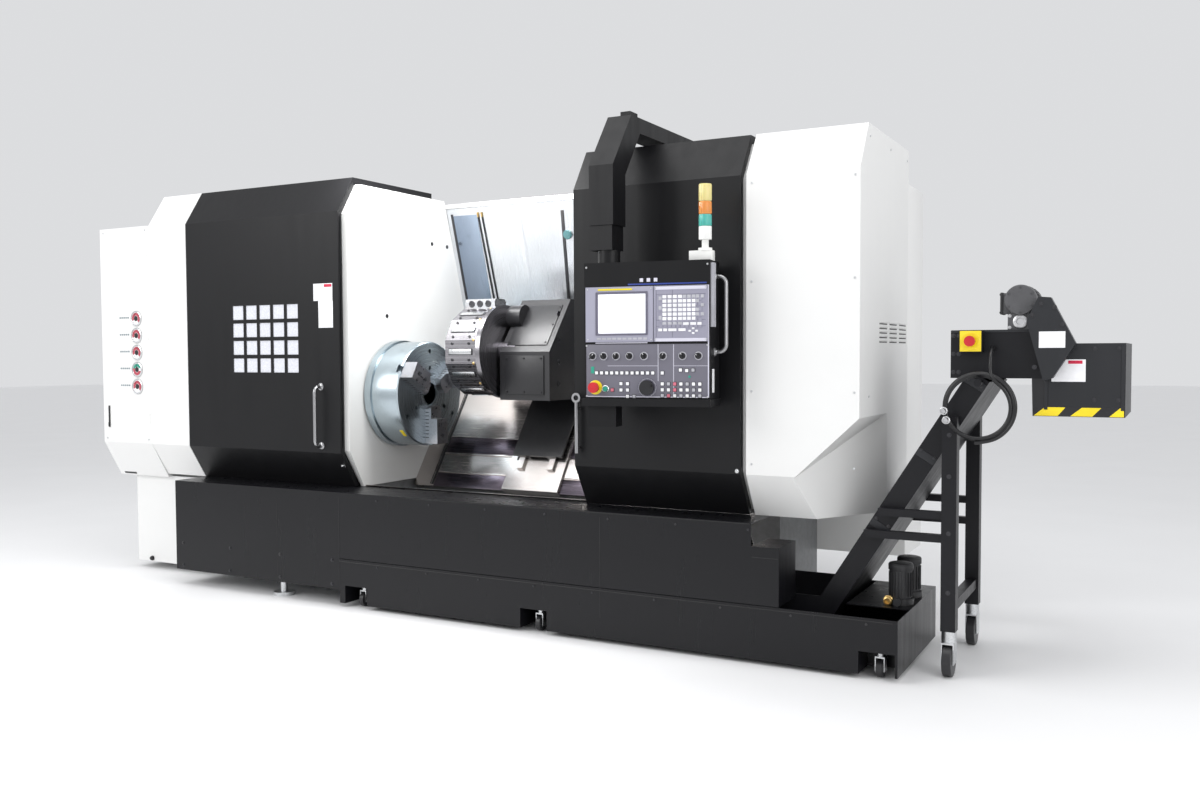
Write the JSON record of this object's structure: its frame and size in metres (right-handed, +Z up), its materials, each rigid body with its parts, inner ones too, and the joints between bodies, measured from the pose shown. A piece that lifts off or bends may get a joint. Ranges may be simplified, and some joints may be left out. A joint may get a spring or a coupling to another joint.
{
  "type": "turning lathe",
  "caption": "Large slant-bed turning lathe with sliding front doors, an indexing tool turret, a swinging control pendant and a chip conveyor.",
  "frame": {"origin": "bottom centre of the bounding box, on the floor", "axes": "+X from the chuck end towards the conveyor, +Y from the front doors to the back, +Z up"},
  "size_m": [5.412, 1.8648, 2.276],
  "materials": {
    "black_paint": "satin textured powder coat",
    "white_paint": "satin textured powder coat",
    "casting": "painted casting",
    "machined_steel": "ground and turned",
    "stainless": "brushed stainless sheet",
    "chrome": "polished",
    "aluminium": "clear anodised",
    "tank_paint": "satin",
    "conveyor_paint": "satin dark grey",
    "motor_paint": "satin",
    "zinc": "zinc plated",
    "wheel_plastic": "nylon",
    "cable_black": "satin sheath",
    "glass": "laminated",
    "dark_plastic": "fine texture",
    "red_plastic": "gloss",
    "green_plastic": "gloss",
    "lens": "ribbed translucent",
    "tower_white": "satin",
    "gauge_steel": "brushed case"
  },
  "bodies": {
    "machine": {"bed_casting": "casting", "levelling_feet": "zinc", "base_skirt": "black_paint", "coolant_tank": "tank_paint", "coolant_pumps": "motor_paint", "tank_caster_forks": "zinc", "left_cabinet": "white_paint", "pressure_gauges": "gauge_steel", "headstock_cover": "white_paint", "headstock_wall": "white_paint", "headstock": "casting", "spindle_motor": "motor_paint", "back_panel": "stainless", "upper_rail": "stainless", "front_lip": "stainless", "way_cover_inner": "stainless", "right_end_cover": "white_paint", "rear_cabinet": "white_paint", "overhead_arm": "black_paint", "conveyor_body": "conveyor_paint", "conveyor_head": "conveyor_paint", "gearmotor": "motor_paint", "conveyor_stand": "conveyor_paint", "cable_coil": "cable_black", "cable_lead": "cable_black", "cable_connectors": "aluminium"},
    "tank_wheel_left": {"tank_wheel_left": "wheel_plastic"},
    "tank_wheel_middle": {"tank_wheel_middle": "wheel_plastic"},
    "tank_wheel_right": {"tank_wheel_right": "wheel_plastic"},
    "service_door": {"service_door": "white_paint"},
    "spindle": {"spindle": "machined_steel", "chuck_body": "machined_steel"},
    "jaw_bottom": {"chuck_jaw_bottom": "machined_steel"},
    "jaw_back": {"chuck_jaw_back": "machined_steel"},
    "jaw_front": {"chuck_jaw_front": "machined_steel"},
    "carriage": {"carriage": "stainless"},
    "way_cover": {"way_cover_middle": "stainless"},
    "turret_slide": {"turret_housing": "motor_paint"},
    "turret": {"turret_disc": "machined_steel", "tool_holders": "machined_steel"},
    "left_door": {"left_door": "black_paint", "left_window": "glass", "left_door_handle": "chrome"},
    "right_door": {"right_door": "black_paint", "right_door_handle": "chrome"},
    "pendant": {"pendant_housing": "black_paint", "pendant_grip": "chrome", "display_unit": "dark_plastic", "key_unit": "dark_plastic", "panel_controls": "dark_plastic", "tower_base": "tower_white", "tower_lenses": "lens"},
    "pendant_stop": {"estop_button": "red_plastic"},
    "start_button": {"start_button": "green_plastic"},
    "pulse_dial": {"pulse_dial": "dark_plastic"},
    "conveyor_stop": {"conveyor_stop": "red_plastic"},
    "stand_fork_front": {"stand_fork_front": "zinc"},
    "stand_fork_rear": {"stand_fork_rear": "zinc"},
    "stand_wheel_front": {"stand_wheel_front": "wheel_plastic"},
    "stand_wheel_rear": {"stand_wheel_rear": "wheel_plastic"}
  },
  "joints": [
    {"name": "tank_wheel_left_roll", "type": "hinge", "parent": "machine", "child": "tank_wheel_left", "pos_m": [-0.701, -0.65762, 0.036], "axis": [1, 0, 0], "continuous": true},
    {"name": "tank_wheel_middle_roll", "type": "hinge", "parent": "machine", "child": "tank_wheel_middle", "pos_m": [0.332, -0.65762, 0.036], "axis": [1, 0, 0], "continuous": true},
    {"name": "tank_wheel_right_roll", "type": "hinge", "parent": "machine", "child": "tank_wheel_right", "pos_m": [1.874, -0.65762, 0.036], "axis": [1, 0, 0], "continuous": true},
    {"name": "service_door_hinge", "type": "hinge", "parent": "machine", "child": "service_door", "pos_m": [-2.31, -0.61762, 1.3], "axis": [0, 0, 1], "range_deg": [0, 100]},
    {"name": "spindle_turn", "type": "hinge", "parent": "machine", "child": "spindle", "pos_m": [-0.706, -0.19762, 1.05], "axis": [1, 0, 0], "continuous": true},
    {"name": "jaw_bottom_grip", "type": "slide", "parent": "spindle", "child": "jaw_bottom", "axis": [0, 0, -1], "range_m": [-0.008, 0.008]},
    {"name": "jaw_back_grip", "type": "slide", "parent": "spindle", "child": "jaw_back", "axis": [0, 0.866, 0.5], "range_m": [-0.008, 0.008]},
    {"name": "jaw_front_grip", "type": "slide", "parent": "spindle", "child": "jaw_front", "axis": [0, -0.866, 0.5], "range_m": [-0.008, 0.008]},
    {"name": "carriage_travel", "type": "slide", "parent": "machine", "child": "carriage", "axis": [1, 0, 0], "range_m": [-0.015, 0.74]},
    {"name": "way_cover_follow", "type": "slide", "parent": "machine", "child": "way_cover", "axis": [1, 0, 0], "range_m": [-0.0075, 0.37]},
    {"name": "turret_cross", "type": "slide", "parent": "carriage", "child": "turret_slide", "axis": [0, -0.5736, -0.8192], "range_m": [-0.06, 0.09]},
    {"name": "turret_index", "type": "hinge", "parent": "turret_slide", "child": "turret", "pos_m": [-0.406, -0.04275, 1.27117], "axis": [1, 0, 0], "continuous": true},
    {"name": "left_door_slide", "type": "slide", "parent": "machine", "child": "left_door", "axis": [1, 0, 0], "range_m": [0, 1.1]},
    {"name": "right_door_slide", "type": "slide", "parent": "machine", "child": "right_door", "axis": [1, 0, 0], "range_m": [-0.275, 0]},
    {"name": "pendant_swing", "type": "hinge", "parent": "machine", "child": "pendant", "pos_m": [0.784, -0.83662, 1.65], "axis": [0, 0, 1], "range_deg": [-80, 3]},
    {"name": "pendant_stop_press", "type": "slide", "parent": "pendant", "child": "pendant_stop", "axis": [-0.1564, 0.9877, 0], "range_m": [0, 0.005]},
    {"name": "start_button_press", "type": "slide", "parent": "pendant", "child": "start_button", "axis": [-0.1564, 0.9877, 0], "range_m": [0, 0.003], "stiffness_N_per_m": 400},
    {"name": "pulse_dial_turn", "type": "hinge", "parent": "pendant", "child": "pulse_dial", "pos_m": [0.97156, -0.87019, 1.118], "axis": [-0.1564, 0.9877, 0], "continuous": true},
    {"name": "conveyor_stop_press", "type": "slide", "parent": "machine", "child": "conveyor_stop", "axis": [0, 1, 0], "range_m": [0, 0.005]},
    {"name": "stand_fork_front_swivel", "type": "hinge", "parent": "machine", "child": "stand_fork_front", "pos_m": [2.104, -0.52562, 0.15], "axis": [0, 0, 1], "continuous": true},
    {"name": "stand_wheel_front_roll", "type": "hinge", "parent": "stand_fork_front", "child": "stand_wheel_front", "pos_m": [2.104, -0.52562, 0.062], "axis": [1, 0, 0], "continuous": true},
    {"name": "stand_fork_rear_swivel", "type": "hinge", "parent": "machine", "child": "stand_fork_rear", "pos_m": [2.104, 0.00038, 0.15], "axis": [0, 0, 1], "continuous": true},
    {"name": "stand_wheel_rear_roll", "type": "hinge", "parent": "stand_fork_rear", "child": "stand_wheel_rear", "pos_m": [2.104, 0.00038, 0.062], "axis": [1, 0, 0], "continuous": true}
  ],
  "couplings": [
    {"joint": "jaw_back_grip", "follows": "jaw_bottom_grip", "ratio": 1},
    {"joint": "jaw_front_grip", "follows": "jaw_bottom_grip", "ratio": 1},
    {"joint": "way_cover_follow", "follows": "carriage_travel", "ratio": 0.5}
  ]
}
